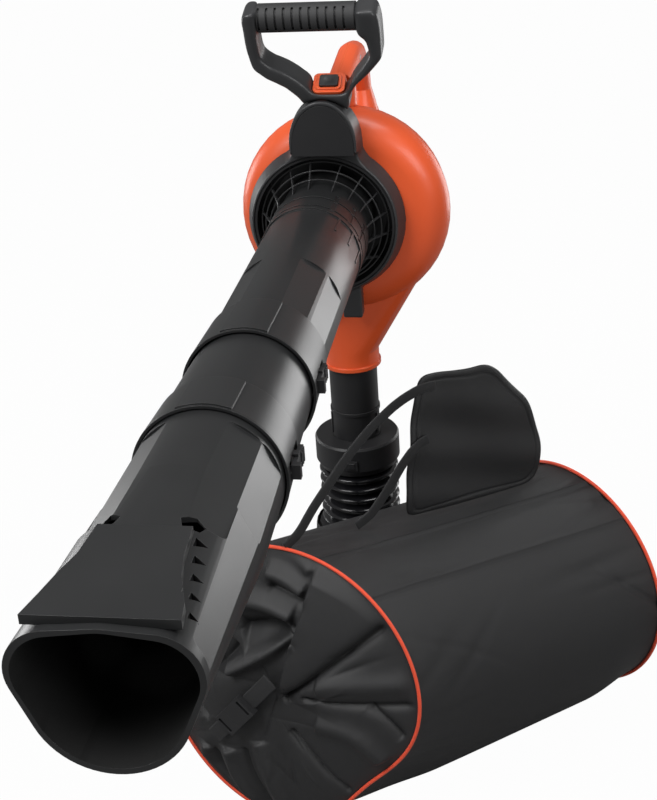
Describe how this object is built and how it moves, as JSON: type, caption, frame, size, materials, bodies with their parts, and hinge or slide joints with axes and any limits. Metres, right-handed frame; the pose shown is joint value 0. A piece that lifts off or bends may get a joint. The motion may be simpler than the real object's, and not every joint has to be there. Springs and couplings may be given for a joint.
{
  "type": "leaf blower",
  "caption": "Handheld garden blower and vacuum with a suction tube, scroll fan housing, front and rear handles, outlet hose and collecting bag.",
  "frame": {"origin": "centre of the front handle's grip", "axes": "-Y along the suction tube towards the mouth, -Z down the outlet, +X along the grip"},
  "size_m": [0.6275, 1.2463, 0.9764],
  "materials": {
    "orange_plastic": "satin moulded plastic",
    "black_plastic": "fine grained moulded plastic",
    "tube_plastic": "satin moulded plastic",
    "grey_plastic": "satin moulded plastic",
    "latch_plastic": "moulded plastic",
    "grip_rubber": "soft grip",
    "hose_gloss": "glossy flexible plastic",
    "bag_fabric": "woven nylon",
    "webbing": "webbing",
    "orange_piping": "piping cord",
    "steel": "machined",
    "copper": "polished",
    "carbon": "carbon block"
  },
  "bodies": {
    "blower": {"volute_front": "orange_plastic", "volute_rear": "orange_plastic", "intake_bracket": "grey_plastic", "bracket_panel": "black_plastic", "intake_bowl": "black_plastic", "tube_guard": "latch_plastic", "upper_tube": "tube_plastic", "upper_coupling": "tube_plastic", "middle_tube": "tube_plastic", "lower_coupling": "tube_plastic", "lower_tube": "tube_plastic", "scraper_plate": "tube_plastic", "latch_mounts": "latch_plastic", "handle_frame": "grey_plastic", "grip_sleeve": "grip_rubber", "switch_platform": "orange_plastic", "rear_handle_left": "orange_plastic", "rear_handle_right": "orange_plastic", "handle_screws": "steel", "motor_housing": "orange_plastic", "motor_cover": "black_plastic", "stator": "steel", "front_bearing": "steel", "rear_bearing": "steel", "brushes": "carbon", "outlet_tube": "black_plastic", "bellows_hose": "hose_gloss", "bag_cuff": "black_plastic", "bag_body": "bag_fabric", "bag_end": "bag_fabric", "piping_left": "orange_piping", "piping_right": "orange_piping", "harness_pad": "bag_fabric", "strap_left": "webbing", "strap_right": "webbing", "closure_strap": "webbing", "buckle_socket": "black_plastic", "power_inlet": "black_plastic"},
    "fan": {"impeller": "black_plastic", "fan_nut": "steel", "motor_shaft": "steel", "rotor_core": "steel", "commutator": "copper"},
    "thumb_switch": {"thumb_switch": "black_plastic"},
    "upper_latch": {"upper_latch": "latch_plastic"},
    "lower_latch": {"lower_latch": "latch_plastic"},
    "outlet_collar": {"outlet_collar": "black_plastic"},
    "collar_button": {"collar_button": "latch_plastic"},
    "buckle_plug": {"buckle_plug": "black_plastic", "plug_strap": "webbing"}
  },
  "joints": [
    {"name": "fan_spin", "type": "hinge", "parent": "blower", "child": "fan", "pos_m": [0, 0.03, -0.258], "axis": [0, 1, 0], "continuous": true},
    {"name": "switch_press", "type": "slide", "parent": "blower", "child": "thumb_switch", "axis": [0, 0.5299, -0.848], "range_m": [0, 0.003], "stiffness_N_per_m": 300},
    {"name": "upper_latch_rock", "type": "hinge", "parent": "blower", "child": "upper_latch", "pos_m": [0.06585, -0.412, -0.258], "axis": [0, 0, 1], "range_deg": [0, 7], "stiffness_Nm_per_rad": 0.3},
    {"name": "lower_latch_rock", "type": "hinge", "parent": "blower", "child": "lower_latch", "pos_m": [0.07185, -0.584, -0.258], "axis": [0, 0, 1], "range_deg": [0, 7], "stiffness_Nm_per_rad": 0.3},
    {"name": "collar_twist", "type": "hinge", "parent": "blower", "child": "outlet_collar", "pos_m": [0.012, 0.094, -0.618], "axis": [0, 0, 1], "range_deg": [0, 30]},
    {"name": "collar_button_press", "type": "slide", "parent": "outlet_collar", "child": "collar_button", "axis": [0, 1, 0], "range_m": [0, 0.003], "stiffness_N_per_m": 250},
    {"name": "buckle_release", "type": "slide", "parent": "blower", "child": "buckle_plug", "axis": [-0.604, 0.2198, -0.766], "range_m": [0, 0.014]}
  ]
}
